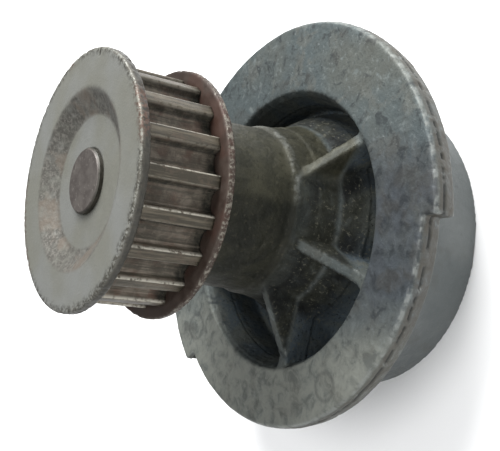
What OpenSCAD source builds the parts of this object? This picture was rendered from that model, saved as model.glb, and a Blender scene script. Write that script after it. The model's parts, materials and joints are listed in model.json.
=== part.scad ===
// Coolant pump with a toothed timing belt pulley.
// Upright on its spigot rim: +Z runs along the shaft towards the pulley.
// The origin is the spigot's axis at its rear rim; the shaft stands off that axis,
// so that turning the whole pump in its seat tightens the belt.

/* [Overall] */
// Height from the spigot's rear rim to the pulley's front face
overall_h = 93.3; // [92:0.1:95]
// Distance from the spigot's axis to the shaft's axis
eccentricity = 3.6; // [3:0.1:4]

/* [Body flange] */
// Radius of the flange's wide sector
flange_wide_r = 57.3; // [56:0.1:58]
// Radius of the flange's narrow sector
flange_narrow_r = 53.3; // [52.5:0.1:54]
// Start of the wide sector, in degrees from +X
wide_from = -86.5; // [-95:0.5:-80]
// End of the wide sector
wide_to = 135; // [125:1:140]
// Height of the flange's seating face above the rear rim
flange_seat_z = 26.3; // [25.5:0.1:27]
// Thickness of the flange
flange_t = 6.7; // [6:0.1:7.5]

/* [Spigot] */
// Radius of the machined spigot
spigot_r = 40.5; // [40:0.1:41]
// Radius of the impeller chamber inside the spigot
chamber_r = 36.9; // [36:0.1:37.2]
// Angle of the coolant outlet cut into the spigot's skirt
outlet_angle = 70; // [50:5:80]
// Height of the coolant outlet above the rear rim
outlet_h = 9.5; // [8:0.5:10]
// Section diameter of the spigot's sealing ring
o_ring_d = 3; // [2.5:0.1:3.2]

/* [Hub and pockets] */
// Radius of the bearing hub at its shoulder
hub_r = 21.5; // [21:0.1:22]
// Height of the hub's front end
hub_top_z = 66.3; // [65:0.1:67]
// Height of the shoulder where the hub widens
shoulder_z = 45.3; // [44:0.1:46]
// Radius of the pockets' mouth about the spigot's axis
pocket_r = 37.3; // [36.8:0.1:37.6]
// Thickness of the ribs
rib_t = 3; // [2.5:0.1:3.5]

/* [Shaft and bearing] */
// Diameter of the shaft, five eighths of an inch
shaft_d = 15.918; // [15.9:0.001:16]
// Outer diameter of the bearing's ring
bearing_d = 30; // [29:0.1:30]
// Length of the bearing's ring
bearing_l = 38.9; // [38.5:0.1:39]
// Diameter of the bearing balls
ball_d = 6; // [5.5:0.1:6]
// Balls in each row
ball_count = 9; // [7:1:9]

/* [Pulley] */
// Number of teeth
teeth = 19; // [19:1:20]
// Belt pitch, three eighths of an inch
belt_pitch = 9.525; // [9.5:0.005:9.55]
// How far the belt's pitch line lies above the teeth
pitch_line = 0.38; // [0.3:0.01:0.5]
// Depth of the grooves between the teeth
groove_depth = 2.9; // [2.5:0.1:3]
// Radius of the pulley's own front flange
front_flange_r = 31.5; // [31:0.1:32]
// Thickness of the front flange
front_flange_t = 2.3; // [2:0.1:2.6]
// Length of the toothed stretch
tooth_l = 19.7; // [19:0.1:20]
// Radius of the pressed-on rear flange
rear_flange_r = 31.07; // [30.5:0.1:31.5]

/* [Impeller] */
// Radius of the impeller
impeller_r = 30; // [28:0.5:31]
// Number of vanes
vane_count = 7; // [6:1:8]
// Angle that each vane sweeps back
vane_sweep = 42; // [30:1:50]

/* [Hidden] */

$fn = 128;
eps = 0.01;
big = 200;

// Heights of the flange and of the pulley, measured from the rear rim.
flange_top_z = flange_seat_z + flange_t;
teeth_top_z = overall_h - front_flange_t;
teeth_bottom_z = teeth_top_z - tooth_l;
rear_flange_t = 2.1;
pulley_bottom_z = teeth_bottom_z - rear_flange_t;

// Shaft: its front end stands 1.4 mm proud of the dish in the pulley's face.
shaft_r = shaft_d / 2;
dish_depth = 3.2;
shaft_top_z = overall_h - dish_depth + 1.4;
shaft_bottom_z = 2.2;
shaft_chamfer = 0.5;

// Bearing: two rows of balls in grooves ground in the shaft and in one long ring.
bearing_r = bearing_d / 2;
bearing_bottom_z = 26.9;
bearing_top_z = bearing_bottom_z + bearing_l;
ring_bore_r = 12.3;
ball_r = ball_d / 2;
ball_circle_r = 10.6;
race_clearance = 0.05;
row_inset = 8.8;
row_z = [bearing_top_z - row_inset, bearing_bottom_z + row_inset];
cage_span = [-1.8, 4.2];
cage_inner_r = 9.7;
cage_outer_r = 11.5;
cage_clearance = 0.08;
bearing_seal_t = 1.6;
bearing_seal_inset = 0.5;
running_gap = 0.04;

// Pulley: tip radius from the pitch, the teeth and the pitch line.
pitch_r = teeth * belt_pitch / (2 * PI);
tip_r = pitch_r - pitch_line;
root_r = tip_r - groove_depth;
groove_top_w = 6.3;
groove_bottom_w = 4.3;
groove_corner_r = 0.7;
tooth_phase = -86.7;
dish_outer_r = 22;
dish_inner_r = 16.5;
rear_land_r = 24;
relief_inner_r = 13;
relief_outer_r = 21;
relief_depth = 8;

// Flange: a groove runs round the rim where the two halves of the die met.
parting_z = flange_top_z - 2.4;
parting_depth = 0.45;
parting_h = 0.5;
rim_front_draft = 0.3;
rim_rear_draft = 0.8;
rim_chamfer = 0.7;

// Hub, flare and pocket floor, as radius and height about the shaft's axis.
shoulder_step = 0.9;
hub_draft = 0.5;
flare_edge = [26.2, 29.6];
flare_foot_r = 30.9;
floor_z = 17;
pocket_bottom_r = 34.4;
pocket_wall_knee = [35.2, 25];

// Ribs about the shaft's axis: angle at the hub, angle at the flange, radius at the flange.
ribs = [[-70.1, -54.8, 38.5], [-110.9, -115.8, 40], [-148.4, -171.3, 42], [117, 117, 40.5], [47, 47, 38.5]];
rib_hub_z = 45.4;
rib_hub_r = 20;
rib_land = 4;
rib_bottom_z = 15;

// Chamber and seal bores.
chamber_h = 12.4;
ceiling_inner_r = 19;
ceiling_outer_r = 26;
ceiling_z = 15.5;
seal_bore_r = 14.5;
seal_bore_top_z = 21.9;
drain_r = 12.6;
bearing_bore_z = 25.4;
weep_r = 2;
weep_angle = 82;
weep_z = 23.6;

// Groove for the sealing ring, just below the flange's seating face.
o_ring_r = o_ring_d / 2;
o_groove_depth = 2.2;
o_groove_h = 4;
o_groove_z = 20.6;

// Impeller and face seal.
disc_bottom_z = 7.4;
disc_top_z = 9;
vane_bottom_z = 1.6;
vane_t = 1.8;
vane_inner_r = 13;
bush_r = 10.4;
boss_r = 13;
bush_bottom_z = 2;
seat_bottom_z = 10.2;
seat_top_z = 12.8;
seat_r = 13;
seat_bore_r = 9.2;
boot_r = 14;
carbon_top_z = 17;
carbon_nose_r = [9.6, 11.4];
carbon_r = [9, 12.2];
cup_wall = 0.9;
cup_flange_r = 16.8;
cup_top_z = seal_bore_top_z;
cup_ceiling_z = cup_top_z - cup_wall;
spring_turns = 2.25;
spring_wire_r = 0.45;
spring_r = 11.6;

// Points along an arc, from a0 to a1 degrees.
function arc(cx, cy, r, a0, a1, n = 8) =
    [for (i = [0:n]) let (a = a0 + (a1 - a0) * i / n) [cx + r * cos(a), cy + r * sin(a)]];

// Moves its children onto the shaft's axis.
module on_shaft(z = 0) {
    translate([eccentricity, 0, z]) children();
}

// A tube between two radii and two heights.
module tube(r_in, r_out, z0, z1) {
    difference() {
        translate([0, 0, z0]) cylinder(r = r_out, h = z1 - z0);
        translate([0, 0, z0 - 1]) cylinder(r = r_in, h = z1 - z0 + 2);
    }
}

// A wedge between two angles, wide enough to cut any disc here.
module wedge(from, to, h) {
    steps = 6;
    points = [for (i = [0:steps]) let (a = from + (to - from) * i / steps) big * [cos(a), sin(a)]];
    linear_extrude(height = h) polygon(concat([[0, 0]], points));
}

// One flange disc: drafted both ways from the die's parting groove round its rim.
module flange_disc(r) {
    rotate_extrude() polygon([
        [0, flange_seat_z],
        [r - rim_rear_draft, flange_seat_z],
        [r, parting_z - parting_h],
        [r - parting_depth, parting_z - parting_h / 2],
        [r, parting_z],
        [r - rim_front_draft, flange_top_z - rim_chamfer],
        [r - rim_front_draft - rim_chamfer, flange_top_z],
        [0, flange_top_z]
    ]);
}

module flange() {
    flange_disc(flange_narrow_r);
    intersection() {
        flange_disc(flange_wide_r);
        translate([0, 0, flange_seat_z - 1]) wedge(wide_from, wide_to, flange_t + 2);
    }
}

// The pockets' mouth and drafted outer wall, about the spigot's axis.
module pocket_space() {
    rotate_extrude() polygon([
        [0, floor_z - 5],
        [pocket_bottom_r, floor_z - 5],
        [pocket_wall_knee.x, pocket_wall_knee.y],
        [pocket_r, flange_top_z - 1],
        [pocket_r + 0.6, flange_top_z + eps],
        [0, flange_top_z + eps]
    ]);
}

// The hub, its flare and the pockets' floor, turned about the shaft's axis.
module hub_core() {
    shoulder_r = hub_r + shoulder_step;
    on_shaft() rotate_extrude() polygon(concat(
        [[0, floor_z - 4], [42, floor_z - 4], [42, floor_z]],
        [[33.4, floor_z + 0.4], [31.2, floor_z + 2.2], [29.6, floor_z + 5.4], [28.2, floor_z + 9.2]],
        [flare_edge, [24.6, 32.2], [23.5, 35.6], [22.8, 39.4], [shoulder_r, 43.4]],
        [[shoulder_r, shoulder_z - 0.5], [shoulder_r - 0.5, shoulder_z], [hub_r, shoulder_z]],
        [[hub_r - hub_draft, hub_top_z - 1], [hub_r - hub_draft - 1, hub_top_z], [0, hub_top_z]]
    ));
}

// One rib, from the hub to the flange, with its front edge sloping down to the flange's face.
module rib(hub_angle, end_angle, end_r) {
    start = rib_hub_r * [cos(hub_angle), sin(hub_angle)];
    end = end_r * [cos(end_angle), sin(end_angle)];
    length = norm(end - start);
    heading = atan2(end.y - start.y, end.x - start.x);
    on_shaft() translate([start.x, start.y, 0]) rotate([0, 0, heading]) rotate([90, 0, 0])
        linear_extrude(height = rib_t, center = true) polygon([
            [0, rib_bottom_z],
            [length, rib_bottom_z],
            [length, flange_top_z - 0.5],
            [length - rib_land, flange_top_z - 0.5],
            [0, rib_hub_z]
        ]);
}

// Everything that is cut from the body at its rear and along the shaft.
module body_bores() {
    translate([0, 0, -1]) cylinder(r = chamber_r, h = chamber_h + 1);
    on_shaft() rotate_extrude() polygon([
        [0, chamber_h - 1],
        [ceiling_outer_r, chamber_h - 1],
        [ceiling_outer_r, chamber_h],
        [ceiling_inner_r, ceiling_z],
        [0, ceiling_z]
    ]);
    on_shaft(ceiling_z - 1) cylinder(r = seal_bore_r, h = seal_bore_top_z - ceiling_z + 1);
    on_shaft(seal_bore_top_z - 1) cylinder(r = drain_r, h = bearing_bore_z - seal_bore_top_z + 2);
    on_shaft(bearing_bore_z) cylinder(r = bearing_r, h = hub_top_z - bearing_bore_z + 1);
    on_shaft(weep_z) rotate([0, 90, weep_angle]) translate([0, 0, drain_r - 2])
        cylinder(r = weep_r, h = 22, $fn = 32);
}

// The opening in the skirt through which the coolant leaves.
module outlet_cut() {
    half = outlet_angle / 2;
    translate([0, 0, -1]) wedge(90 - half, 90 + half, outlet_h + 1);
}

module pump_body() {
    color("#7f8684") difference() {
        union() {
            difference() {
                union() {
                    cylinder(r = spigot_r, h = flange_seat_z + 1);
                    flange();
                }
                pocket_space();
                tube(spigot_r - o_groove_depth, spigot_r + 1, o_groove_z, o_groove_z + o_groove_h);
            }
            intersection() {
                hub_core();
                union() {
                    cylinder(r = pocket_bottom_r + 1.6, h = floor_z + 3);
                    on_shaft() cylinder(r = flare_foot_r, h = overall_h);
                }
            }
            intersection() {
                for (r = ribs) rib(r[0], r[1], r[2]);
                cylinder(r = pocket_r + 0.5, h = overall_h);
            }
        }
        body_bores();
        intersection() {
            outlet_cut();
            tube(chamber_r - 1, spigot_r + 1, -1, outlet_h);
        }
    }
}

module body_o_ring() {
    color("#1d1d1e") translate([0, 0, o_groove_z + o_groove_h / 2]) rotate_extrude()
        translate([spigot_r - o_groove_depth + o_ring_r + eps, 0]) circle(r = o_ring_r, $fn = 48);
}

// A ball groove, as a ring of round section with room for the balls.
module race_groove(z) {
    translate([0, 0, z]) rotate_extrude()
        translate([ball_circle_r, 0]) circle(r = ball_r + race_clearance, $fn = 64);
}

module bearing_outer_ring() {
    color("#b9bcbf") on_shaft() difference() {
        rotate_extrude() polygon([
            [ring_bore_r, bearing_bottom_z],
            [bearing_r - 0.5, bearing_bottom_z],
            [bearing_r, bearing_bottom_z + 0.5],
            [bearing_r, bearing_top_z - 0.5],
            [bearing_r - 0.5, bearing_top_z],
            [ring_bore_r, bearing_top_z]
        ]);
        for (z = row_z) race_groove(z);
    }
}

module ball_row(z) {
    color("#d5d8da") on_shaft(z)
        for (i = [0:ball_count - 1]) rotate([0, 0, i * 360 / ball_count])
            translate([ball_circle_r, 0, 0]) sphere(r = ball_r, $fn = 48);
}

module balls_front() { ball_row(row_z[0]); }

module balls_rear() { ball_row(row_z[1]); }

// A crown cage: a ring above the balls, with fingers that reach down between them.
module cage(z) {
    color("#3a4a3c") on_shaft(z) difference() {
        tube(cage_inner_r, cage_outer_r, cage_span[0], cage_span[1]);
        for (i = [0:ball_count - 1]) rotate([0, 0, i * 360 / ball_count])
            translate([ball_circle_r, 0, 0]) sphere(r = ball_r + cage_clearance, $fn = 48);
    }
}

module cage_front() { cage(row_z[0]); }

module cage_rear() { cage(row_z[1]); }

// A bearing's rubber seal, with a lip that leans towards the bearing's end.
module bearing_seal(z, lip) {
    inner = shaft_r + running_gap;
    t = bearing_seal_t;
    color("#222326") on_shaft(z) rotate_extrude() polygon([
        [inner, lip * t * 0.35],
        [inner + 1.1, -lip * t * 0.2],
        [inner + 1.4, -lip * t * 0.5],
        [ring_bore_r, -lip * t * 0.5],
        [ring_bore_r, lip * t * 0.5],
        [inner + 1.8, lip * t * 0.5],
        [inner + 0.4, lip * t * 0.5]
    ]);
}

module bearing_seal_front() {
    bearing_seal(bearing_top_z - bearing_seal_inset - bearing_seal_t / 2, 1);
}

module bearing_seal_rear() {
    bearing_seal(bearing_bottom_z + bearing_seal_inset + bearing_seal_t / 2, -1);
}

module shaft() {
    c = shaft_chamfer;
    color("#8b7f78") on_shaft() difference() {
        rotate_extrude() polygon([
            [0, shaft_bottom_z],
            [shaft_r - c, shaft_bottom_z],
            [shaft_r, shaft_bottom_z + c],
            [shaft_r, shaft_top_z - c],
            [shaft_r - c, shaft_top_z],
            [0, shaft_top_z]
        ]);
        for (z = row_z) race_groove(z);
    }
}

// The outline of one groove between two teeth, with rounded bottom corners.
module tooth_groove() {
    c = groove_corner_r;
    half_top = groove_top_w / 2;
    half_bottom = groove_bottom_w / 2;
    slope = (half_top - half_bottom) / groove_depth;
    flank = 90 - atan(slope);
    over = 1;
    polygon(concat(
        [[tip_r + over, -half_top - slope * over]],
        [[root_r + 1.3 * c, -half_bottom - 1.3 * c * slope]],
        arc(root_r + c, -half_bottom + c, c, 180 + flank, 180, 4),
        arc(root_r + c, half_bottom - c, c, 180, 180 - flank, 4),
        [[root_r + 1.3 * c, half_bottom + 1.3 * c * slope]],
        [[tip_r + over, half_top + slope * over]]
    ));
}

module pulley() {
    tooth_angle = 360 / teeth;
    color("#8d857a") on_shaft() difference() {
        rotate_extrude() polygon([
            [shaft_r, pulley_bottom_z],
            [rear_land_r, pulley_bottom_z],
            [rear_land_r, teeth_bottom_z],
            [tip_r, teeth_bottom_z],
            [tip_r, teeth_top_z],
            [front_flange_r - 0.3, teeth_top_z],
            [front_flange_r, teeth_top_z + 0.4],
            [front_flange_r, overall_h - 0.5],
            [front_flange_r - 0.5, overall_h],
            [dish_outer_r, overall_h],
            [dish_inner_r, overall_h - dish_depth],
            [shaft_r, overall_h - dish_depth]
        ]);
        for (i = [0:teeth - 1]) rotate([0, 0, tooth_phase + (i + 0.5) * tooth_angle])
            translate([0, 0, teeth_bottom_z - 1]) linear_extrude(height = tooth_l + 1) tooth_groove();
        tube(relief_inner_r, relief_outer_r, pulley_bottom_z - 1, pulley_bottom_z + relief_depth);
    }
}

// A pressed ring whose outer edge leans away from the belt.
module pulley_rear_flange() {
    top = teeth_bottom_z;
    bottom = pulley_bottom_z;
    color("#5b4238") on_shaft() rotate_extrude() polygon([
        [rear_land_r, top],
        [tip_r + 0.2, top],
        [rear_flange_r - 0.3, top - 0.4],
        [rear_flange_r, top - 0.75],
        [rear_flange_r, bottom + 0.35],
        [rear_flange_r - 0.35, bottom],
        [tip_r - 0.6, bottom + 0.3],
        [rear_land_r, bottom + 0.3]
    ]);
}

// One vane in plan: a band between two arcs that sweeps back as it goes out.
module vane_outline() {
    steps = 8;
    function spine(i) = let (u = i / steps) [vane_inner_r + (impeller_r - vane_inner_r) * u, vane_sweep * u];
    function side(i, off) = let (p = spine(i), a = p[1] + off / p[0] * 180 / PI) p[0] * [cos(a), sin(a)];
    polygon(concat(
        [for (i = [0:steps]) side(i, vane_t / 2)],
        [for (i = [steps:-1:0]) side(i, -vane_t / 2)]
    ));
}

module impeller() {
    color("#26282a") on_shaft() difference() {
        union() {
            translate([0, 0, disc_bottom_z]) cylinder(r = impeller_r, h = disc_top_z - disc_bottom_z);
            translate([0, 0, bush_bottom_z]) cylinder(r = boss_r, h = disc_top_z - bush_bottom_z);
            intersection() {
                translate([0, 0, vane_bottom_z]) linear_extrude(height = disc_bottom_z - vane_bottom_z + 0.5)
                    for (i = [0:vane_count - 1]) rotate(i * 360 / vane_count) vane_outline();
                cylinder(r = impeller_r - 0.2, h = overall_h);
            }
        }
        translate([0, 0, -1]) cylinder(r = bush_r, h = disc_top_z + 2);
    }
}

module impeller_bush() {
    color("#9a9b98") on_shaft() difference() {
        translate([0, 0, bush_bottom_z]) cylinder(r = bush_r, h = disc_top_z - bush_bottom_z);
        translate([0, 0, -1]) cylinder(r = shaft_r, h = disc_top_z + 2);
    }
}

module seal_cup() {
    color("#b08d4c") on_shaft() rotate_extrude() polygon([
        [shaft_r + 1.2, cup_ceiling_z],
        [seal_bore_r - cup_wall, cup_ceiling_z],
        [seal_bore_r - cup_wall, ceiling_z - cup_wall],
        [cup_flange_r, ceiling_z - cup_wall],
        [cup_flange_r, ceiling_z],
        [seal_bore_r, ceiling_z],
        [seal_bore_r, cup_top_z],
        [shaft_r + 1.2, cup_top_z]
    ]);
}

// A round wire wound into a coil that rises from z0 to z1 between the wire's centres.
module coil(r, wire_r, z0, z1, turns) {
    steps = turns * 32;
    sides = 10;
    last = steps * sides;
    points = [for (i = [0:steps]) for (j = [0:sides - 1])
        let (a = 360 * turns * i / steps, b = 360 * j / sides, out = r + wire_r * cos(b))
        [out * cos(a), out * sin(a), z0 + (z1 - z0) * i / steps + wire_r * sin(b)]];
    skin = [for (i = [0:steps - 1]) for (j = [0:sides - 1])
        let (k = (j + 1) % sides, n = i * sides)
        [n + j, n + k, n + sides + k, n + sides + j]];
    first_cap = [for (j = [sides - 1:-1:0]) j];
    last_cap = [for (j = [0:sides - 1]) last + j];
    polyhedron(points, concat(skin, [first_cap], [last_cap]), convexity = 10);
}

module seal_spring() {
    bottom = carbon_top_z + 0.4 + spring_wire_r;
    top = cup_ceiling_z - spring_wire_r;
    color("#9aa0a3") on_shaft() coil(spring_r, spring_wire_r, bottom, top, spring_turns);
}

// A folded rubber sleeve between the cup and the carbon ring.
module seal_bellows() {
    inner = carbon_r[0] + 0.1;
    wall = 0.7;
    fold = 0.7;
    z0 = carbon_top_z;
    z1 = cup_ceiling_z;
    mid = (z0 + z1) / 2;
    color("#161617") on_shaft() rotate_extrude() polygon([
        [inner, z0],
        [inner + wall, z0],
        [inner + wall, z0 + 0.6],
        [inner + wall + fold, mid],
        [inner + wall, z1 - 0.6],
        [inner + wall, z1],
        [inner, z1],
        [inner, z1 - 0.6],
        [inner + fold, mid],
        [inner, z0 + 0.6]
    ]);
}

module carbon_ring() {
    color("#2b2c2f") on_shaft() rotate_extrude() polygon([
        [carbon_nose_r[0], seat_top_z],
        [carbon_nose_r[1], seat_top_z],
        [carbon_nose_r[1], seat_top_z + 1],
        [carbon_r[1], seat_top_z + 1.6],
        [carbon_r[1], carbon_top_z],
        [carbon_r[0], carbon_top_z],
        [carbon_r[0], seat_top_z + 1.2]
    ]);
}

// The pressed band that holds the carbon ring and seats the spring.
module carbon_band() {
    color("#c0a25e") on_shaft() rotate_extrude() polygon([
        [carbon_r[1], carbon_top_z - 2],
        [carbon_r[1] + 0.4, carbon_top_z - 2],
        [carbon_r[1] + 0.4, carbon_top_z + 0.4],
        [carbon_r[0] + 1.3, carbon_top_z + 0.4],
        [carbon_r[0] + 1.3, carbon_top_z],
        [carbon_r[1], carbon_top_z]
    ]);
}

module seat_ring() {
    color("#e6e2d8") on_shaft() tube(seat_bore_r, seat_r, seat_bottom_z, seat_top_z);
}

// A rubber boot of L section that drives the seat ring from the impeller.
module seat_boot() {
    color("#1a1a1b") on_shaft() rotate_extrude() polygon([
        [shaft_r, disc_top_z],
        [boot_r, disc_top_z],
        [boot_r, seat_bottom_z + 1.6],
        [seat_r, seat_bottom_z + 1.6],
        [seat_r, seat_bottom_z],
        [seat_bore_r, seat_bottom_z],
        [seat_bore_r, seat_top_z - 0.6],
        [shaft_r, seat_top_z - 0.6]
    ]);
}

pump_body();
body_o_ring();
bearing_outer_ring();
balls_front();
balls_rear();
cage_front();
cage_rear();
bearing_seal_front();
bearing_seal_rear();
shaft();
pulley();
pulley_rear_flange();
impeller();
impeller_bush();
seal_cup();
seal_spring();
seal_bellows();
carbon_ring();
carbon_band();
seat_ring();
seat_boot();
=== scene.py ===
"""Looks for the coolant pump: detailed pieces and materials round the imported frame."""
import json
import math

import bpy
import numpy as np
from mathutils import Matrix, Vector, noise


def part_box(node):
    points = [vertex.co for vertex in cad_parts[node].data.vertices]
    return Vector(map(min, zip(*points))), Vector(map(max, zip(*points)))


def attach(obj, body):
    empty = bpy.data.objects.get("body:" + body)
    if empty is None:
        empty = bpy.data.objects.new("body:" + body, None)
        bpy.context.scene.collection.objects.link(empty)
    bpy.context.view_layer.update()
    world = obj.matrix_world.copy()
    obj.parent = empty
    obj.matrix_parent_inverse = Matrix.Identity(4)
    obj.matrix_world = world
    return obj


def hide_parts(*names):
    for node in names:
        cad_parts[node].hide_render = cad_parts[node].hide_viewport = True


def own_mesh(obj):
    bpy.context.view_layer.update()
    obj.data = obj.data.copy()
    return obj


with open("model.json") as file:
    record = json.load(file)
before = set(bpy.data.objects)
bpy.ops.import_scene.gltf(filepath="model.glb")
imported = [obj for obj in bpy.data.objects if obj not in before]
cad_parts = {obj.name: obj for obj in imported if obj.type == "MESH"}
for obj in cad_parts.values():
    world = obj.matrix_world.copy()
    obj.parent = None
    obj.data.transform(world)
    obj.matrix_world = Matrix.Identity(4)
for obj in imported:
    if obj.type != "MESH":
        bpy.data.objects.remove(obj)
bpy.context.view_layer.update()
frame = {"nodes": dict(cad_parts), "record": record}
nodes = frame["nodes"]
MM = 0.001

# ---------------------------------------------------------------- places, from the frame

shaft_low, shaft_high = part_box("shaft")
pulley_low, pulley_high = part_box("pulley")
ring_low, ring_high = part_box("pulley_rear_flange")
mounts = {m["name"]: m for m in frame["record"]["mounts"]}

SHAFT_X = (shaft_low[0] + shaft_high[0]) / 2 / MM
SHAFT_Y = (shaft_low[1] + shaft_high[1]) / 2 / MM
SHAFT_R = (shaft_high[0] - shaft_low[0]) / 2 / MM
SHAFT_TOP = shaft_high[2] / MM
FLANGE_SEAT = mounts["flange_seat"]["pos_m"][2] / MM
FLANGE_TOP = mounts["clamp_face"]["pos_m"][2] / MM
SPIGOT_R = mounts["block_spigot"]["dims"]["r_mm"]
TIP_R = mounts["belt_seat"]["dims"]["r_mm"]
FRONT = pulley_high[2] / MM
REAR = pulley_low[2] / MM
FRONT_FLANGE_R = (pulley_high[0] - pulley_low[0]) / 2 / MM
TOOTH_LENGTH = mounts["belt_seat"]["dims"]["length_mm"]
TEETH_LOW = ring_high[2] / MM
TEETH_HIGH = TEETH_LOW + TOOTH_LENGTH
REAR_FLANGE_R = (ring_high[0] - ring_low[0]) / 2 / MM

# Pulley: sizes in millimetres, angles about the shaft.
TEETH = 19
TOOTH_PHASE = math.radians(-86.7)
GROOVE_DEPTH = 2.9
GROOVE_TOP = 6.3
GROOVE_BOTTOM = 4.3
TIP_ROUND = 0.4
ROOT_ROUND = 1.5
DISH_OUTER = 22.0
DISH_INNER = 16.5
DISH_DEPTH = 3.2
REAR_LAND = 24.0
RELIEF_INNER = 13.0
RELIEF_OUTER = 21.0
RELIEF_DEPTH = 8.0
SMALL_CHAMFER = 0.3
RIM_BAND = 1.6
NICK_ANGLE = math.radians(-9)
NICK_LENGTH = 2.2
NICK_HALF_WIDTH = 0.5
NICK_DEPTH = 0.25
TOOTH_ROW_STEP = 0.55
INNER_ROW_STEP = 1.2
OUTER_ROW_STEP = 0.5
FLANGE_ROW_STEP = 0.45
FLANGE_AROUND = 480

# Casting: where its parts are, and how its surface is made.
POCKET_R = 37.3
HUB_R = 21.5
SHOULDER_Z = 45.3
RIM_R = 51.5
BODY_VOXEL = 0.45
SMOOTH_ROUNDS = 3
SPIGOT_GROOVE_DROP = 6.2
RIB_FOOT_Z = 26
RIB_SWELL = 0.22
PARTING_DROP = 2.7
PARTING_DEPTH = 0.4
# Painted shade on the hub: where its lower side starts, below the shaft, and how soft that edge
# is.
LIT_EDGE_X = -1.2
LIT_EDGE_BLUR = 1.5

# Round marks left by the die's ejector pins on the flange's face: x, y and radius.
DIE_MARKS = [(8.5, -47.3, 4.2), (-39.2, -25.6, 3.4), (-43.8, 7.9, 1.0),
             (20, 42, 3.8), (-30, 36, 3.6), (44, 18, 3.8)]

# Camera: place in millimetres, the way it looks, and its lens on a 36 mm sensor.
CAMERA_PLACE = (-18.7, -195.1, 178.2)
CAMERA_AZIMUTH = math.radians(5.32)
CAMERA_ELEVATION = math.radians(-34.70)
CAMERA_ROLL = math.radians(80.7)
CAMERA_LENS = 64.56
CAMERA_SENSOR = 36


# ---------------------------------------------------------------- small helpers

def fbm(x, y, z, scale, octaves, seed):
    """Smooth noise of a few octaves at a point in millimetres, about -1 to 1."""
    p = Vector((x / scale + seed, y / scale - seed, z / scale + 2 * seed))
    return noise.fractal(p, 1.0, 2.0, octaves)


def step_up(value, low, high):
    """0 below low, 1 above high, smooth between; works on numbers and arrays."""
    t = np.clip((value - low) / (high - low), 0.0, 1.0)
    return t * t * (3 - 2 * t)


def step_down(value, low, high):
    """1 below low, 0 above high, smooth between."""
    return step_up(-value, -high, -low)


def link_object(name, data):
    ob = bpy.data.objects.new(name, data)
    bpy.context.scene.collection.objects.link(ob)
    return ob


def shade_smooth(mesh):
    mesh.polygons.foreach_set("use_smooth", [True] * len(mesh.polygons))


def new_piece(name, verts, faces):
    """A smooth mesh object from points in millimetres."""
    mesh = bpy.data.meshes.new(name)
    mesh.from_pydata([tuple(c * MM for c in v) for v in verts], [], faces)
    mesh.validate()
    mesh.update()
    shade_smooth(mesh)
    return link_object(name, mesh)


def place_on_frame(piece, body, node):
    """The piece rides on a body and stands for a CAD node, which it hides."""
    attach(piece, body)
    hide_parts(node)


def write_mask(ob, name, values):
    """Stores one number per vertex, for the materials to read."""
    attribute = ob.data.attributes.new(name, "FLOAT", "POINT")
    attribute.data.foreach_set("value", np.clip(values, 0, 1).astype(np.float32))


def resample(profile, step):
    """Points along a closed profile of (radius, height), no further apart than step."""
    out = []
    for (r0, z0), (r1, z1) in zip(profile, profile[1:] + profile[:1]):
        count = max(1, math.ceil(math.hypot(r1 - r0, z1 - z0) / step))
        out += [(r0 + (r1 - r0) * i / count, z0 + (z1 - z0) * i / count) for i in range(count)]
    return out


def ring_faces(rings, around):
    """Quads between closed rings of points, the last ring joined to the first."""
    faces = []
    for i in range(rings):
        a, b = i * around, (i + 1) % rings * around
        for j in range(around):
            k = (j + 1) % around
            faces.append((a + j, a + k, b + k, b + j))
    return faces


def lathe(name, profile, around, dent):
    """A solid turned about the shaft; dent(x, y, z, r) gives its radius and height offsets."""
    verts = []
    for r, z in profile:
        for j in range(around):
            a = 2 * math.pi * j / around
            ca, sa = math.cos(a), math.sin(a)
            dr, dz = dent(r * ca, r * sa, z, r)
            verts.append((SHAFT_X + (r + dr) * ca, SHAFT_Y + (r + dr) * sa, z + dz))
    return new_piece(name, verts, ring_faces(len(profile), around))


# ---------------------------------------------------------------- material kit

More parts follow.
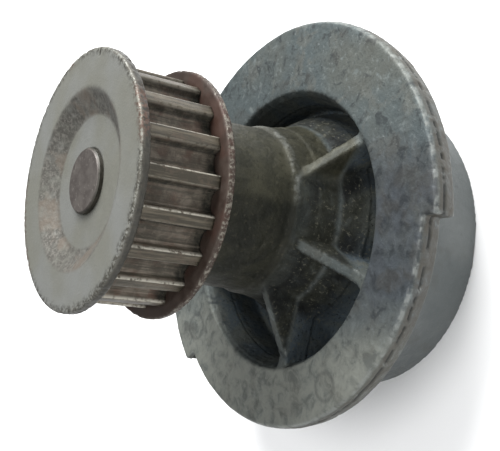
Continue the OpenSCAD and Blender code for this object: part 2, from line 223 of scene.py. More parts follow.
class Nodes:
    """Short ways to build one node material."""

    def __init__(self, name):
        self.material = bpy.data.materials.new(name)
        self.material.use_nodes = True
        self.tree = self.material.node_tree
        self.shader = self.tree.nodes["Principled BSDF"]
        coords = self.tree.nodes.new("ShaderNodeTexCoord")
        self.place = coords.outputs["Object"]

    def link(self, source, target):
        """Sets a socket to a number or a colour, or joins it to another node's output."""
        if isinstance(source, (int, float)):
            target.default_value = source
        elif isinstance(source, tuple):
            target.default_value = (*source, 1.0)
        else:
            self.tree.links.new(source, target)

    def noise(self, size_mm, detail=4, rough=0.55, distortion=0.0, stretch=None):
        node = self.tree.nodes.new("ShaderNodeTexNoise")
        node.inputs["Scale"].default_value = 1 / MM / size_mm
        node.inputs["Detail"].default_value = detail
        node.inputs["Roughness"].default_value = rough
        node.inputs["Distortion"].default_value = distortion
        self.link(self.stretched(stretch) if stretch else self.place, node.inputs["Vector"])
        return node.outputs["Fac"]

    def height(self):
        node = self.tree.nodes.new("ShaderNodeSeparateXYZ")
        self.link(self.place, node.inputs["Vector"])
        return node.outputs["Z"]

    def stretched(self, factors):
        node = self.tree.nodes.new("ShaderNodeMapping")
        node.inputs["Scale"].default_value = factors
        self.link(self.place, node.inputs["Vector"])
        return node.outputs["Vector"]

    def mask(self, name):
        """A number that write_mask stored on the vertices."""
        node = self.tree.nodes.new("ShaderNodeAttribute")
        node.attribute_name = name
        return node.outputs["Fac"]

    def band(self, source, low, high, out_low=0.0, out_high=1.0):
        """Maps low..high of a value to out_low..out_high, clamped."""
        node = self.tree.nodes.new("ShaderNodeMapRange")
        node.interpolation_type = "SMOOTHSTEP"
        self.link(source, node.inputs["Value"])
        node.inputs["From Min"].default_value = low
        node.inputs["From Max"].default_value = high
        node.inputs["To Min"].default_value = out_low
        node.inputs["To Max"].default_value = out_high
        return node.outputs["Result"]

    def math(self, operation, a, b):
        node = self.tree.nodes.new("ShaderNodeMath")
        node.operation = operation
        node.use_clamp = True
        self.link(a, node.inputs[0])
        self.link(b, node.inputs[1])
        return node.outputs[0]

    def times(self, a, b):
        return self.math("MULTIPLY", a, b)

    def mix(self, amount, a, b):
        """Colour a where amount is 0, colour b where it is 1."""
        node = self.tree.nodes.new("ShaderNodeMix")
        node.data_type = "RGBA"
        self.link(amount, node.inputs[0])
        self.link(a, node.inputs[6])
        self.link(b, node.inputs[7])
        return node.outputs[2]

    def bump(self, height, depth_mm, normal=None):
        node = self.tree.nodes.new("ShaderNodeBump")
        node.inputs["Distance"].default_value = depth_mm * MM
        self.link(height, node.inputs["Height"])
        if normal:
            self.link(normal, node.inputs["Normal"])
        return node.outputs["Normal"]

    def finish(self, colour, roughness, normal=None, metallic=0.0, specular=0.5):
        self.link(colour, self.shader.inputs["Base Color"])
        self.link(roughness, self.shader.inputs["Roughness"])
        self.link(metallic, self.shader.inputs["Metallic"])
        self.shader.inputs["Specular IOR Level"].default_value = specular
        if normal:
            self.link(normal, self.shader.inputs["Normal"])
        return self.material


# ---------------------------------------------------------------- materials

def cast_aluminium():
    """Oxidised die casting: mottled grey, near-black olive deposits in the pockets that double as
    painted shade, painted shade on the hub's lower side and the flange's near side, worn pale
    edges with a painted highlight on the hub's step.
    """
    m = Nodes("cast_aluminium")
    broad = m.noise(24, 3, 0.5)
    patch = m.noise(9, 4, 0.6, 0.6)
    mottle = m.noise(3.6, 5, 0.65, 0.5)
    grain = m.noise(0.6, 3, 0.7)
    speck = m.noise(1.1, 4, 0.8)
    colour = m.mix(m.band(broad, 0.38, 0.62), (0.064, 0.078, 0.079), (0.078, 0.085, 0.077))
    colour = m.mix(m.band(patch, 0.52, 0.64, 0.0, 0.7), colour, (0.092, 0.097, 0.088))
    colour = m.mix(m.band(mottle, 0.53, 0.64, 0.0, 0.85), colour, (0.030, 0.035, 0.036))
    colour = m.mix(m.band(mottle, 0.44, 0.32, 0.0, 0.85), colour, (0.128, 0.146, 0.143))
    peppered = m.band(patch, 0.38, 0.6, 0.35, 1.0)
    dark_speck = m.times(peppered, m.band(speck, 0.56, 0.66, 0.0, 0.8))
    colour = m.mix(dark_speck, colour, (0.022, 0.025, 0.025))
    pale_speck = m.times(peppered, m.band(speck, 0.41, 0.33, 0.0, 0.8))
    colour = m.mix(pale_speck, colour, (0.190, 0.208, 0.204))
    pale = m.times(m.mask("pale"), m.band(mottle, 0.64, 0.4, 0.45, 1.0))
    colour = m.mix(pale, colour, (0.165, 0.172, 0.152))
    colour = m.mix(m.mask("mark"), colour, (0.034, 0.037, 0.038))
    shade = m.times(m.mask("shade"), m.band(patch, 0.3, 0.6, 0.65, 1.0))
    shaded = m.mix(m.band(mottle, 0.4, 0.62), (0.040, 0.046, 0.054), (0.017, 0.020, 0.024))
    colour = m.mix(shade, colour, shaded)
    turned = m.mix(m.band(broad, 0.35, 0.65), (0.088, 0.097, 0.097), (0.118, 0.127, 0.126))
    blot = m.noise(2.5, 4, 0.7)
    turned = m.mix(m.band(blot, 0.6, 0.72, 0.0, 0.5), turned, (0.06, 0.064, 0.064))
    colour = m.mix(m.mask("machined"), colour, turned)
    stain = m.times(m.mask("stain"), m.band(mottle, 0.3, 0.6, 0.3, 1.0))
    colour = m.mix(stain, colour, (0.062, 0.058, 0.049))
    # Near-black pocket colour: dark deposits, and painted shade in the recesses and on the flare's
    # lower part.
    sludge_and_shade = m.mix(m.band(patch, 0.42, 0.6), (0.006, 0.007, 0.007), (0.013, 0.014, 0.010))
    dusty = m.mix(m.band(patch, 0.42, 0.6), (0.048, 0.062, 0.072), (0.070, 0.078, 0.072))
    sludge_and_shade = m.mix(m.mask("deep"), sludge_and_shade, dusty)
    sludge_and_shade = m.mix(m.band(speck, 0.57, 0.65, 0.0, 0.9), sludge_and_shade, (0.085, 0.083, 0.064))
    sludge_and_shade = m.mix(m.band(speck, 0.42, 0.36), sludge_and_shade, (0.004, 0.004, 0.003))
    grime = m.times(m.mask("grime"), m.band(mottle, 0.2, 0.62, 0.82, 1.0))
    colour = m.mix(grime, colour, sludge_and_shade)
    film = m.mix(m.band(patch, 0.4, 0.62), (0.019, 0.019, 0.012), (0.034, 0.033, 0.021))
    # A darker film for the hub's lower side, as painted shade.
    film_in_painted_shade = m.mix(m.band(patch, 0.4, 0.62), (0.007, 0.0075, 0.0045), (0.015, 0.015, 0.009))
    film = m.mix(m.mask("under"), film, film_in_painted_shade)
    film = m.mix(m.band(speck, 0.57, 0.66, 0.0, 0.55), film, (0.048, 0.044, 0.030))
    film = m.mix(m.band(speck, 0.43, 0.35, 0.0, 0.8), film, (0.009, 0.009, 0.006))
    colour = m.mix(m.mask("film"), colour, film)
    colour = m.mix(m.mask("parting"), colour, (0.018, 0.019, 0.018))
    # Worn pale edges; the wear mask also carries a painted highlight on the hub's step.
    wear = m.times(m.mask("wear"), m.band(m.noise(2.2, 4, 0.7), 0.38, 0.58, 0.1, 1.0))
    colour = m.mix(wear, colour, (0.185, 0.195, 0.185))
    rough = m.band(mottle, 0.3, 0.7, 0.44, 0.64)
    rough = m.math("ADD", rough, m.times(grime, 0.2))
    normal = m.bump(grain, 0.06)
    normal = m.bump(speck, 0.12, normal)
    normal = m.bump(mottle, 0.25, normal)
    return m.finish(colour, rough, normal, metallic=0.3, specular=0.22)


def pulley_steel():
    """Sintered steel: pale satin face, rusty flanks, grooves dirty and darkened by painted shade,
    worn corners with a painted highlight on each tooth's lit side.
    """
    m = Nodes("pulley_steel")
    broad = m.noise(18, 3, 0.5)
    mottle = m.noise(3.0, 5, 0.65, 0.5)
    grain = m.noise(0.45, 3, 0.7)
    fleck = m.noise(0.9, 4, 0.8)
    scratch = m.noise(1.0, 3, 0.7, stretch=(1, 1, 0.06))
    face = m.mix(m.band(broad, 0.36, 0.64), (0.150, 0.153, 0.143), (0.134, 0.134, 0.114))
    face = m.mix(m.band(grain, 0.58, 0.75, 0.0, 0.35), face, (0.10, 0.098, 0.086))
    rust = m.mix(m.band(mottle, 0.35, 0.65), (0.120, 0.100, 0.078), (0.070, 0.056, 0.042))
    rust = m.mix(m.band(m.noise(6, 4, 0.6), 0.5, 0.66, 0.0, 0.8), rust, (0.080, 0.046, 0.032))
    side = m.mix(m.band(scratch, 0.45, 0.65, 0.0, 0.8), rust, (0.030, 0.027, 0.018))
    side = m.mix(m.band(fleck, 0.60, 0.70, 0.0, 0.7), side, (0.145, 0.128, 0.104))
    land = m.mix(m.band(scratch, 0.38, 0.6), (0.072, 0.061, 0.043), (0.027, 0.023, 0.015))
    land = m.mix(m.band(mottle, 0.5, 0.64, 0.0, 0.7), land, (0.056, 0.042, 0.030))
    side = m.mix(m.mask("land"), side, land)
    colour = m.mix(m.mask("side"), face, side)
    dish = m.times(m.mask("dish"), m.band(mottle, 0.25, 0.6, 0.35, 1.0))
    rough_dish = m.mix(m.band(fleck, 0.46, 0.60), (0.056, 0.053, 0.046), (0.116, 0.110, 0.097))
    rusty_patch = m.band(m.noise(8, 3, 0.5), 0.5, 0.62, 0.0, 0.7)
    colour = m.mix(dish, colour, m.mix(rusty_patch, rough_dish, (0.108, 0.090, 0.072)))
    # Dirty grooves, with painted shade on each tooth's unlit flank and at the groove ends by the
    # flanges.
    dirt = m.times(m.mask("dirt"), m.band(mottle, 0.25, 0.6, 0.5, 1.0))
    caked_and_shaded = m.mix(m.band(fleck, 0.46, 0.62), (0.010, 0.010, 0.007), (0.034, 0.030, 0.021))
    colour = m.mix(dirt, colour, caked_and_shaded)
    band = m.mix(m.band(fleck, 0.56, 0.66), (0.022, 0.021, 0.017), (0.105, 0.098, 0.080))
    colour = m.mix(m.mask("band"), colour, band)
    nick = m.times(m.mask("chipped"), m.band(fleck, 0.47, 0.53))
    bare = m.mix(m.band(broad, 0.55, 0.62), (0.030, 0.028, 0.022), (0.060, 0.034, 0.024))
    colour = m.mix(nick, colour, bare)
    # Worn corners, brightened most on each tooth's lit side as a painted highlight.
    wear = m.times(m.mask("wear"), m.band(m.noise(1.3, 4, 0.7), 0.36, 0.52))
    colour = m.mix(wear, colour, (0.27, 0.255, 0.215))
    rough = m.band(mottle, 0.3, 0.7, 0.40, 0.55)
    rough = m.math("ADD", rough, m.times(m.mask("dirt"), 0.25))
    normal = m.bump(grain, 0.03)
    normal = m.bump(fleck, 0.05, normal)
    normal = m.bump(mottle, 0.08, normal)
    return m.finish(colour, rough, normal, metallic=0.3, specular=0.3)


def rusty_steel():
    """Pressed steel under an even brown rust, with its edge worn bright."""
    m = Nodes("rusty_steel")
    mottle = m.noise(3.5, 5, 0.6, 0.3)
    grain = m.noise(0.5, 3, 0.7)
    colour = m.mix(m.band(mottle, 0.35, 0.65), (0.026, 0.017, 0.013), (0.040, 0.029, 0.023))
    colour = m.mix(m.band(m.noise(9, 3, 0.5), 0.48, 0.62, 0.0, 0.6), colour, (0.044, 0.022, 0.016))
    wear = m.times(m.mask("wear"), m.band(m.noise(1.0, 4, 0.8), 0.49, 0.58))
    colour = m.mix(m.times(wear, 0.6), colour, (0.19, 0.18, 0.15))
    rough = m.band(mottle, 0.3, 0.7, 0.45, 0.65)
    return m.finish(colour, rough, m.bump(grain, 0.05), metallic=0.25, specular=0.22)


def shaft_end():
    """Ground steel, lightly rusted at its front end, with its side wall painted dark as shade."""
    m = Nodes("shaft_end")
    mottle = m.noise(2.5, 4, 0.6)
    colour = m.mix(m.band(mottle, 0.35, 0.65), (0.050, 0.041, 0.036), (0.072, 0.063, 0.056))
    colour = m.mix(m.band(m.noise(0.8, 3, 0.7), 0.6, 0.7), colour, (0.15, 0.135, 0.12))
    end = m.band(m.height(), (SHAFT_TOP - 0.3) * MM, (SHAFT_TOP - 0.1) * MM)
    # The side wall is painted dark as shade; the end face keeps the lightly rusted colour.
    painted_side_shade = m.mix(m.band(mottle, 0.4, 0.6), (0.018, 0.017, 0.012), (0.038, 0.034, 0.026))
    colour = m.mix(end, painted_side_shade, colour)
    rough = m.band(mottle, 0.3, 0.7, 0.38, 0.58)
    return m.finish(colour, rough, m.bump(m.noise(0.5, 3, 0.7), 0.04), metallic=0.4)


def machined_metal(name, low, high, rough=(0.22, 0.38), grain=(1, 1, 12), metallic=0.9):
    """Turned or ground metal, with fine marks that run round it."""
    m = Nodes(name)
    marks = m.noise(1.2, 3, 0.6, stretch=grain)
    blotch = m.noise(7, 4, 0.6)
    colour = m.mix(m.band(marks, 0.35, 0.65), low, high)
    stained = tuple(c * 0.6 for c in low)
    colour = m.mix(m.band(blotch, 0.55, 0.72, 0.0, 0.45), colour, stained)
    roughness = m.band(marks, 0.3, 0.7, *rough)
    return m.finish(colour, roughness, m.bump(marks, 0.01), metallic=metallic)


def moulded(name, dark, light, rough=(0.45, 0.65), grain_mm=0.6, depth=0.03, specular=0.4):
    """Rubber, plastic, carbon or ceramic: a fine grain with faint dust and colour drift."""
    m = Nodes(name)
    drift = m.noise(9, 4, 0.6)
    grain = m.noise(grain_mm, 3, 0.7)
    colour = m.mix(m.band(drift, 0.35, 0.68), dark, light)
    dust = tuple(min(1, c * 1.7 + 0.01) for c in light)
    colour = m.mix(m.band(grain, 0.6, 0.75, 0.0, 0.35), colour, dust)
    roughness = m.band(drift, 0.3, 0.7, *rough)
    return m.finish(colour, roughness, m.bump(grain, depth), specular=specular)


def finish_node(name, material):
    """Gives a CAD node that stays its material."""
    slots = nodes[name].data.materials
    if len(slots):
        for i in range(len(slots)):
            slots[i] = material
    else:
        slots.append(material)


# ---------------------------------------------------------------- pulley

def tooth_outline():
    """(angle, radius) round one tooth pitch, from one groove's middle to the next."""
    root = TIP_R - GROOVE_DEPTH
    half = math.pi / TEETH
    land = half - GROOVE_TOP / 2 / TIP_R
    foot = half - GROOVE_BOTTOM / 2 / root
    points = []
    for u in (0.0, 0.35, 0.7):
        points.append((u * (land - TIP_ROUND / TIP_R), TIP_R))
    for k in range(4):
        a = math.radians(90 - 75 * k / 3)
        points.append((land + TIP_ROUND * (math.cos(a) - 1) / TIP_R,
                       TIP_R - TIP_ROUND * (1 - math.sin(a))))
    for u in (0.3, 0.55, 0.78):
        points.append((land + (foot - land) * u, TIP_R - GROOVE_DEPTH * u))
    for k in range(1, 5):
        a = math.radians(90 * k / 4)
        sweep = ROOT_ROUND * (1 - math.cos(a)) / root
        points.append((foot + sweep - 0.1 / root, root + ROOT_ROUND * (1 - math.sin(a))))
    points.append((half - (half - foot) * 0.3, root))
    right = sorted(points)
    left = [(-a, r) for a, r in reversed(right) if a > 0]
    return left + right + [(half, root)]


def pulley_rows():
    """(radius, height) rows of the bore and rear, and of the front flange, face and dish."""
    relief_z = REAR + RELIEF_DEPTH
    dish_z = FRONT - DISH_DEPTH
    inner = [(SHAFT_R, REAR), (RELIEF_INNER, REAR), (RELIEF_INNER + SMALL_CHAMFER, relief_z),
             (RELIEF_OUTER - SMALL_CHAMFER, relief_z), (RELIEF_OUTER, REAR),
             (REAR_LAND - SMALL_CHAMFER, REAR), (REAR_LAND, REAR + SMALL_CHAMFER),
             (REAR_LAND, TEETH_LOW)]
    outer = [(FRONT_FLANGE_R - 0.25, TEETH_HIGH), (FRONT_FLANGE_R, TEETH_HIGH + SMALL_CHAMFER),
             (FRONT_FLANGE_R, FRONT - 0.55), (FRONT_FLANGE_R - 0.18, FRONT - 0.18),
             (FRONT_FLANGE_R - 0.55, FRONT), (DISH_OUTER + 0.4, FRONT),
             (DISH_OUTER - 0.3, FRONT - 0.12), (DISH_INNER + 0.4, dish_z + 0.2),
             (DISH_INNER - 0.3, dish_z), (SHAFT_R, dish_z)]
    inner_rows = resample(inner + [(TIP_R, TEETH_LOW)], INNER_ROW_STEP)
    outer_rows = resample(outer + inner[:1], OUTER_ROW_STEP)
    return (inner_rows[:inner_rows.index(inner[-1]) + 1],
            outer_rows[:outer_rows.index(outer[-1]) + 1])


def rear_point(r, z):
    """A point in the bore or on the rear: its radius, height and masks."""
    return r, z, {"side": 1.0, "dirt": 0.7}


def tooth_point(x, y, z, r, lit_flank):
    """A point on the teeth: lands worn low, one corner of each tooth bright as wear and painted
    highlight, the other flank and the groove ends darkened as painted shade, roots dirty.
    """
    low = TIP_R - r
    if low < 0.4:
        r -= 0.05 * (0.5 + fbm(x, y, z, 1.5, 3, 7.0))
    # Painted shade in the grooves next to the rear and front flanges.
    ends = (step_down(z, TEETH_LOW + 1.5, TEETH_LOW + 4.5)
            + 0.8 * step_up(z, TEETH_HIGH - 1.8, TEETH_HIGH - 0.6))
    shadow = ends if low > 0.3 else 0.0
    # Painted shade on the flank away from the lit side.
    shaded_flank = 0.85 if 0.4 < low < 2.3 and not lit_flank else 0.0
    corner = 0.02 < low < 0.4
    return r, z, {
        "side": 1.0,
        "land": step_down(low, 0.2, 0.5),
        "dirt": max(shadow, shaded_flank, 0.45 * step_up(low, 2.0, 2.8)),
        # The lit side's corner: wear with a painted highlight; the other corner: wear alone.
        "wear": (1.0 if lit_flank else 0.2) if corner else 0.0,
    }


def front_point(x, y, z, r, angle):
    """A point on the front flange or its face: bitten rim, one nick, pitted dish."""
    on_rim = r > FRONT_FLANGE_R - RIM_BAND
    chip = fbm(x, y, z, 1.1, 3, 5.0)
    nicked = r > FRONT_FLANGE_R - NICK_LENGTH and abs(angle - NICK_ANGLE) * r < NICK_HALF_WIDTH
    if nicked:
        z -= NICK_DEPTH
    if on_rim:
        bite = max(0.0, chip - 0.05) * 0.4
        r -= bite * (1.0 if r > FRONT_FLANGE_R - 0.3 else 0.5)
        z -= bite * 0.5 * (z > FRONT - 0.3)
    elif DISH_INNER - 1 < r < DISH_OUTER + 0.5:
        z += 0.07 * fbm(x, y, z, 1.6, 3, 9.0)
    elif z > FRONT - 0.05:
        z -= 0.012 * (1 + fbm(x, y, z, 5, 2, 2.0))
    bevel = on_rim and r > FRONT_FLANGE_R - 0.6 and z > FRONT - 0.6
    behind = z < FRONT - 0.35
    return r, z, {
        "side": float(z < FRONT - 0.9 and r > DISH_OUTER),
        "band": step_up(r, FRONT_FLANGE_R - 0.45, FRONT_FLANGE_R - 0.15) if behind else 0.0,
        "dirt": float(nicked),
        "chipped": step_up(r, FRONT_FLANGE_R - 2.4 - 1.2 * chip, FRONT_FLANGE_R - 0.5),
        "wear": 0.15 if bevel else 0.0,
        "dish": (step_up(r, DISH_INNER - 0.8, DISH_INNER)
                 * step_down(r, DISH_OUTER - 0.6, DISH_OUTER + 0.6)),
    }


def make_pulley():
    """The toothed pulley as rings of points that follow the tooth outline."""
    outline = tooth_outline()
    pitch = 2 * math.pi / TEETH
    # The second half of each tooth's outline is taken as its lit side, for its painted highlight
    # and painted shade.
    spokes = [(TOOTH_PHASE + k * pitch + a, r, i > len(outline) // 2)
              for k in range(TEETH) for i, (a, r) in enumerate(outline)]
    inner_rows, outer_rows = pulley_rows()
    steps = int(TOOTH_LENGTH / TOOTH_ROW_STEP)
    rows = [("rear", row) for row in inner_rows]
    rows += [("teeth", (None, TEETH_LOW + TOOTH_LENGTH * i / steps)) for i in range(steps + 1)]
    rows += [("front", row) for row in outer_rows]
    masks = {name: [] for name in ("side", "land", "dirt", "band", "chipped", "wear", "dish")}
    verts = []
    for zone, (row_r, row_z) in rows:
        for angle, tooth_r, lit_flank in spokes:
            ca, sa = math.cos(angle), math.sin(angle)
            r = tooth_r if zone == "teeth" else row_r
            if zone == "teeth":
                r, z, values = tooth_point(r * ca, r * sa, row_z, r, lit_flank)
            elif zone == "front":
                r, z, values = front_point(r * ca, r * sa, row_z, r, angle)
            else:
                r, z, values = rear_point(r, row_z)
            verts.append((SHAFT_X + r * ca, SHAFT_Y + r * sa, z))
            for name, column in masks.items():
                column.append(float(values.get(name, 0.0)))
    piece = new_piece("belt_pulley", verts, ring_faces(len(rows), len(spokes)))
    for name, column in masks.items():
        write_mask(piece, name, np.array(column))
    piece.data.materials.append(pulley_steel())
    place_on_frame(piece, "rotor", "pulley")


def make_rear_flange():
    """The pressed ring behind the teeth, nicked along its edge."""
    top, bottom = TEETH_LOW, REAR
    profile = resample([(REAR_LAND, bottom + 0.3), (REAR_LAND, top), (TIP_R + 0.2, top),
                        (REAR_FLANGE_R - 0.5, top - 0.35), (REAR_FLANGE_R - 0.1, top - 0.6),
                        (REAR_FLANGE_R, top - 0.9), (REAR_FLANGE_R, bottom + 0.45),
                        (REAR_FLANGE_R - 0.15, bottom + 0.1), (REAR_FLANGE_R - 0.45, bottom),
                        (TIP_R - 0.6, bottom + 0.3)], FLANGE_ROW_STEP)

    def dent(x, y, z, r):
        edge = float(step_up(r, REAR_FLANGE_R - 0.7, REAR_FLANGE_R - 0.1))
        bite = max(0.0, fbm(x, y, z, 1.2, 3, 3.0)) * 0.35 * edge
        return -bite, 0.03 * fbm(x, y, z, 6, 2, 4.0) * (1 - edge)

    piece = lathe("rear_flange_ring", profile, FLANGE_AROUND, dent)
    radii = np.repeat([r for r, z in profile], FLANGE_AROUND)
    write_mask(piece, "wear", step_up(radii, REAR_FLANGE_R - 0.4, REAR_FLANGE_R - 0.1))
    piece.data.materials.append(rusty_steel())
    place_on_frame(piece, "rotor", "pulley_rear_flange")


# ---------------------------------------------------------------- pump body

def remeshed(name, node, voxel_mm, rounds):
    """A copy of a CAD node's surface as even quads, with its sharp edges eased."""
    mesh = nodes[node].data.copy()
    mesh.materials.clear()
    source = link_object(name + "_source", mesh)
    weld = source.modifiers.new("weld", "WELD")
    weld.merge_threshold = 0.01 * MM
    remesh = source.modifiers.new("remesh", "REMESH")
    remesh.mode = "VOXEL"
    remesh.voxel_size = voxel_mm * MM
    graph = bpy.context.evaluated_depsgraph_get()
    result = bpy.data.meshes.new_from_object(source.evaluated_get(graph))
    result.name = name
    bpy.data.objects.remove(source)
    ob = link_object(name, result)
    place, edges = mesh_arrays(result)
    for _ in range(rounds):
        place += 0.5 * (neighbour_mean(place, edges) - place)
    store_places(result, place)
    shade_smooth(result)
    return ob


def mesh_arrays(mesh):
    """Vertex places in millimetres and the edges, as arrays."""
    place = np.empty(len(mesh.vertices) * 3)
    mesh.vertices.foreach_get("co", place)
    edges = np.empty(len(mesh.edges) * 2, dtype=np.int64)
    mesh.edges.foreach_get("vertices", edges)
    return place.reshape(-1, 3) / MM, edges.reshape(-1, 2)


def store_places(mesh, place):
    mesh.vertices.foreach_set("co", (place * MM).ravel())
    mesh.update()


def neighbour_mean(values, edges):
    """For each vertex, the mean of its neighbours' values."""
    total = np.zeros_like(values)
    np.add.at(total, edges[:, 0], values[edges[:, 1]])
    np.add.at(total, edges[:, 1], values[edges[:, 0]])
    count = np.bincount(edges.ravel(), minlength=len(values)).astype(float)
    return total / (count[:, None] if values.ndim > 1 else count)


def vertex_normals(mesh):
    normals = np.empty(len(mesh.vertices) * 3)
    mesh.vertices.foreach_get("normal", normals)
    return normals.reshape(-1, 3)


def noise_field(place, scale, octaves, seed):
    return np.array([fbm(x, y, z, scale, octaves, seed) for x, y, z in place])


def make_body():
    """The die casting: even surface, eased edges, cast waviness, a parting crack and die marks."""
    piece = remeshed("pump_casting", "pump_body", BODY_VOXEL, SMOOTH_ROUNDS)
    mesh = piece.data
    place, edges = mesh_arrays(mesh)
    normals = vertex_normals(mesh)
    radius = np.hypot(place[:, 0], place[:, 1])
    shape = shape_casting(place, normals, radius)
    store_places(mesh, place)
    bend = np.einsum("ij,ij->i", place - neighbour_mean(place, edges), normals)
    for _ in range(2):
        bend = neighbour_mean(bend, edges)
    for name, values in casting_masks(place, normals, radius, bend, *shape).items():
        write_mask(piece, name, values)
    mesh.materials.append(cast_aluminium())
    place_on_frame(piece, "housing", "pump_body")


def shape_casting(place, normals, radius):
    """Moves the casting's points: true spigot, full ribs, parting crack, waviness and pits."""
    height = place[:, 2]
    on_spigot = ((np.abs(radius - SPIGOT_R) < 0.4) & (height > 0.5)
                 & (height < FLANGE_SEAT - SPIGOT_GROOVE_DROP))
    place[on_spigot, :2] *= (SPIGOT_R / radius[on_spigot])[:, None]
    shaft_radius = np.hypot(place[:, 0] - SHAFT_X, place[:, 1] - SHAFT_Y)
    machined = (step_down(height, FLANGE_SEAT - 0.6, FLANGE_SEAT)
                * step_up(radius, SPIGOT_R - 5, SPIGOT_R - 4.4))
    coarse = noise_field(place, 7.0, 3, 1.0)
    fine = noise_field(place, 2.2, 3, 6.0)
    ribs = ((shaft_radius > HUB_R + 1.5) & (radius < POCKET_R - 0.2)
            & (height > RIB_FOOT_Z) & (np.abs(normals[:, 2]) < 0.6))
    place[ribs, :2] += RIB_SWELL * normals[ribs, :2]
    level = FLANGE_TOP - PARTING_DROP + 0.25 * noise_field(place * (1, 1, 0), 5.0, 2, 8.0)
    on_rim = step_up(radius, RIM_R, RIM_R + 0.8) * (1 - np.abs(normals[:, 2]))
    crack = on_rim * step_down(np.abs(height - level), 0.2, 0.6) * step_down(fine, -0.05, 0.3)
    place -= normals * (PARTING_DEPTH * crack)[:, None]
    pits = np.maximum(0, noise_field(place, 1.3, 2, 11.0) - 0.25)
    offset = (1 - machined) * (0.08 * coarse + 0.05 * fine - 0.25 * pits)
    place += normals * offset[:, None]
    return shaft_radius, machined, crack, coarse, fine


def casting_masks(place, normals, radius, bend, shaft_radius, machined, crack, coarse, fine):
    """Where the casting is turned, grimy, filmed over, stained, marked and worn, and where shade
    and a highlight are painted on, 0 to 1.
    """
    x, y, height = place.T
    facing_front = normals[:, 2]
    in_pocket = (step_down(radius, POCKET_R - 1.2, POCKET_R + 0.4)
                 * step_down(height, FLANGE_TOP - 1.5, FLANGE_TOP + 0.2))
    around_hub = (step_down(radius, POCKET_R - 1.5, POCKET_R + 1.5)
                  * step_up(height, FLANGE_TOP - 1, FLANGE_TOP + 1))
    # Painted shade: the hub's lower side, below the lit edge, takes the darker film.
    under = step_up(SHAFT_X - x, LIT_EDGE_X - LIT_EDGE_BLUR, LIT_EDGE_X + LIT_EDGE_BLUR)
    # Front-facing rib tops are lifted out of the painted shade and deposits so they stay pale,
    # fully on the shaded lower side and a fifth as much on the lit upper side.
    rib_top = (around_hub * step_up(facing_front, 0.5, 0.8) * (0.2 + 0.8 * under)
               * step_up(shaft_radius, HUB_R + 1.2, HUB_R + 2.5))
    # The flare's lower part, below x of about 9 to 14 mm, takes the pocket colour as dark deposits
    # and painted shade.
    on_flare = (step_up(shaft_radius, HUB_R + 0.6, HUB_R + 1.4) * (height < SHOULDER_Z)
                * step_down(x, 9, 14))
    darkening_kept = (1 - 0.75 * rib_top) * (radius < SPIGOT_R - 1)
    face = (step_up(height, FLANGE_TOP - 1.2, FLANGE_TOP - 0.4)
            * step_up(radius, POCKET_R, POCKET_R + 1))
    rim = (step_up(radius, RIM_R - 0.5, RIM_R + 1.5) * (1 - machined)
           * step_down(height, FLANGE_TOP - 1.6, FLANGE_TOP - 0.6))
    near_side = step_down(y, -34, -12) * step_up(x, -34, -12) * step_down(x, 8, 30)
    edge = (step_up(radius, RIM_R - 1.5, RIM_R - 0.5)
            * step_up(height, FLANGE_TOP - 1.3, FLANGE_TOP - 0.9)
            * step_up(facing_front, 0.15, 0.4) * step_down(facing_front, 0.8, 0.95)
            * step_up(fine, -0.35, 0.0))
    # Painted highlight along the lit upper part of the hub's step, above the shaft.
    painted_shoulder_highlight = (step_up(height, SHOULDER_Z - 2.2, SHOULDER_Z - 1)
                * step_down(height, SHOULDER_Z + 0.2, SHOULDER_Z + 0.8)
                * step_up(shaft_radius, HUB_R + 0.1, HUB_R + 0.5)
                * (1 - under) * step_up(x, -1, 4))
    flare = (step_down(shaft_radius, HUB_R + 2, HUB_R + 8)
             * step_down(height, SHOULDER_Z - 5, SHOULDER_Z - 2))
    worn = (step_up(bend, 0.03, 0.07) * (1 - 0.9 * flare * in_pocket)
            * (1 - np.maximum(around_hub, in_pocket)))
    marks = np.zeros(len(place))
    for mark_x, mark_y, size in DIE_MARKS:
        away = np.abs(np.hypot(x - mark_x, y - mark_y) - size)
        marks = np.maximum(marks, face * step_down(away, 0.25, 0.7))
    return {
        "machined": machined,
        # Pockets and the lower flare: dark deposits with painted shade.
        "grime": np.maximum(in_pocket, around_hub * on_flare) * darkening_kept,
        "film": around_hub * (1 - 0.8 * on_flare) * darkening_kept,
        # Painted shade on the hub's lower side.
        "under": under,
        "deep": in_pocket * step_up(shaft_radius, HUB_R + 5, HUB_R + 9),
        "shade": 0.85 * near_side * np.maximum(face, 0.6 * rim),
        "parting": crack,
        "mark": 0.4 * marks,
        "stain": 0.8 * rim + 0.25 * step_up(coarse, 0.1, 0.5),
        "pale": face * step_down(x, -40, -5) * (1 - near_side),
        "wear": np.maximum.reduce([worn, 0.6 * edge, 0.25 * painted_shoulder_highlight]),
    }


# ---------------------------------------------------------------- seal

def make_shortening(name, node, material):
    """A copy of a seal part that stands in the cup, riding on the housing in place of its CAD
    node.
    """
    mesh = nodes[node].data.copy()
    mesh.name = name
    mesh.materials.clear()
    mesh.materials.append(material)
    piece = link_object(name, mesh)
    piece.matrix_world = nodes[node].matrix_world.copy()
    place_on_frame(piece, "housing", node)
    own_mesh(piece)


# ---------------------------------------------------------------- build

make_pulley()
make_rear_flange()
make_body()

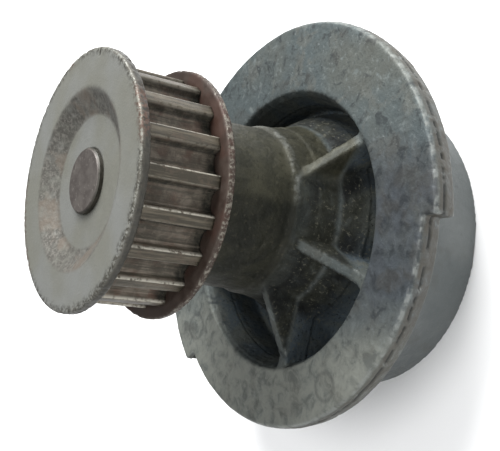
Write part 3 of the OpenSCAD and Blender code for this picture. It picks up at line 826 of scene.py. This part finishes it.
steel = machined_metal("bearing_steel", (0.30, 0.31, 0.32), (0.42, 0.43, 0.44))
ball_steel = machined_metal("ball_steel", (0.72, 0.73, 0.74), (0.80, 0.81, 0.82), (0.06, 0.14),
                            grain=(1, 1, 1), metallic=1.0)
bush_steel = machined_metal("bush_steel", (0.30, 0.29, 0.27), (0.44, 0.43, 0.41), (0.35, 0.5))
spring_steel = machined_metal("spring_steel", (0.42, 0.43, 0.44), (0.56, 0.57, 0.58),
                              (0.25, 0.4))
brass = machined_metal("dull_brass", (0.34, 0.25, 0.11), (0.50, 0.38, 0.18), (0.32, 0.5))
rubber = moulded("black_rubber", (0.012, 0.012, 0.012), (0.022, 0.022, 0.022), (0.5, 0.7))
nylon = moulded("cage_nylon", (0.07, 0.12, 0.075), (0.10, 0.16, 0.10))
impeller_plastic = moulded("impeller_plastic", (0.02, 0.021, 0.022), (0.035, 0.036, 0.037),
                           (0.4, 0.6))
graphite = moulded("graphite", (0.02, 0.02, 0.022), (0.035, 0.035, 0.038), (0.3, 0.45),
                   grain_mm=0.4, depth=0.01)
ceramic = moulded("ceramic", (0.62, 0.60, 0.54), (0.72, 0.70, 0.65), (0.15, 0.3),
                  grain_mm=1.5, depth=0.005)

make_shortening("face_spring", "seal_spring", spring_steel)
make_shortening("face_bellows", "seal_bellows", rubber)

for name, material in {
    "shaft": shaft_end(), "body_o_ring": rubber, "bearing_outer_ring": steel,
    "balls_front": ball_steel, "balls_rear": ball_steel, "cage_front": nylon, "cage_rear": nylon,
    "bearing_seal_front": rubber, "bearing_seal_rear": rubber, "impeller": impeller_plastic,
    "impeller_bush": bush_steel, "seal_cup": brass, "carbon_ring": graphite, "carbon_band": brass,
    "seat_ring": ceramic, "seat_boot": rubber,
}.items():
    finish_node(name, material)


# ---------------------------------------------------------------- floor, light and camera

def make_floor():
    half = 4.0
    corners = [(-half, -half, 0), (half, -half, 0), (half, half, 0), (-half, half, 0)]
    mesh = bpy.data.meshes.new("floor")
    mesh.from_pydata(corners, [], [(0, 1, 2, 3)])
    floor = link_object("floor", mesh)
    m = Nodes("floor_paper")
    tone = m.mix(m.band(m.noise(60, 2), 0.3, 0.7), (0.86, 0.86, 0.86), (0.9, 0.9, 0.9))
    mesh.materials.append(m.finish(tone, 0.9, specular=0.1))


def aim(ob, target):
    ob.rotation_euler = (Vector(target) - ob.location).to_track_quat("-Z", "Y").to_euler()


def soft_light(name, place, size, power, target):
    light = bpy.data.lights.new(name, "AREA")
    light.shape = "DISK"
    light.size = size
    light.energy = power
    ob = link_object(name, light)
    ob.location = place
    aim(ob, target)


def make_light():
    centre = (0, 0, 0.045)
    soft_light("key", (0.55, 0.0, 0.42), 0.45, 12.0, centre)
    soft_light("front", (-0.1, -0.3, 0.75), 0.6, 4.0, centre)
    soft_light("fill", (-0.45, -0.5, 0.12), 0.5, 2.6, centre)
    world = bpy.data.worlds.new("studio")
    world.use_nodes = True
    background = world.node_tree.nodes["Background"]
    background.inputs["Color"].default_value = (0.95, 0.97, 1.0, 1)
    background.inputs["Strength"].default_value = 0.42
    bpy.context.scene.world = world
    bpy.context.scene.view_settings.view_transform = "Standard"


def make_camera():
    """Above the pulley and to one side, with the camera turned so that +X is up in the picture."""
    forward = Vector((math.sin(CAMERA_AZIMUTH) * math.cos(CAMERA_ELEVATION),
                      math.cos(CAMERA_AZIMUTH) * math.cos(CAMERA_ELEVATION),
                      math.sin(CAMERA_ELEVATION)))
    level = forward.cross(Vector((0, 0, 1))).normalized()
    up = level * math.sin(CAMERA_ROLL) + level.cross(forward) * math.cos(CAMERA_ROLL)
    right = forward.cross(up)
    camera = link_object("camera", bpy.data.cameras.new("camera"))
    turn = Matrix((right, up, -forward)).transposed()
    camera.matrix_world = Matrix.Translation(Vector(CAMERA_PLACE) * MM) @ turn.to_4x4()
    camera.data.sensor_width = CAMERA_SENSOR
    camera.data.lens = CAMERA_LENS
    camera.data.clip_start = 0.01
    bpy.context.scene.camera = camera


make_floor()
make_light()
make_camera()
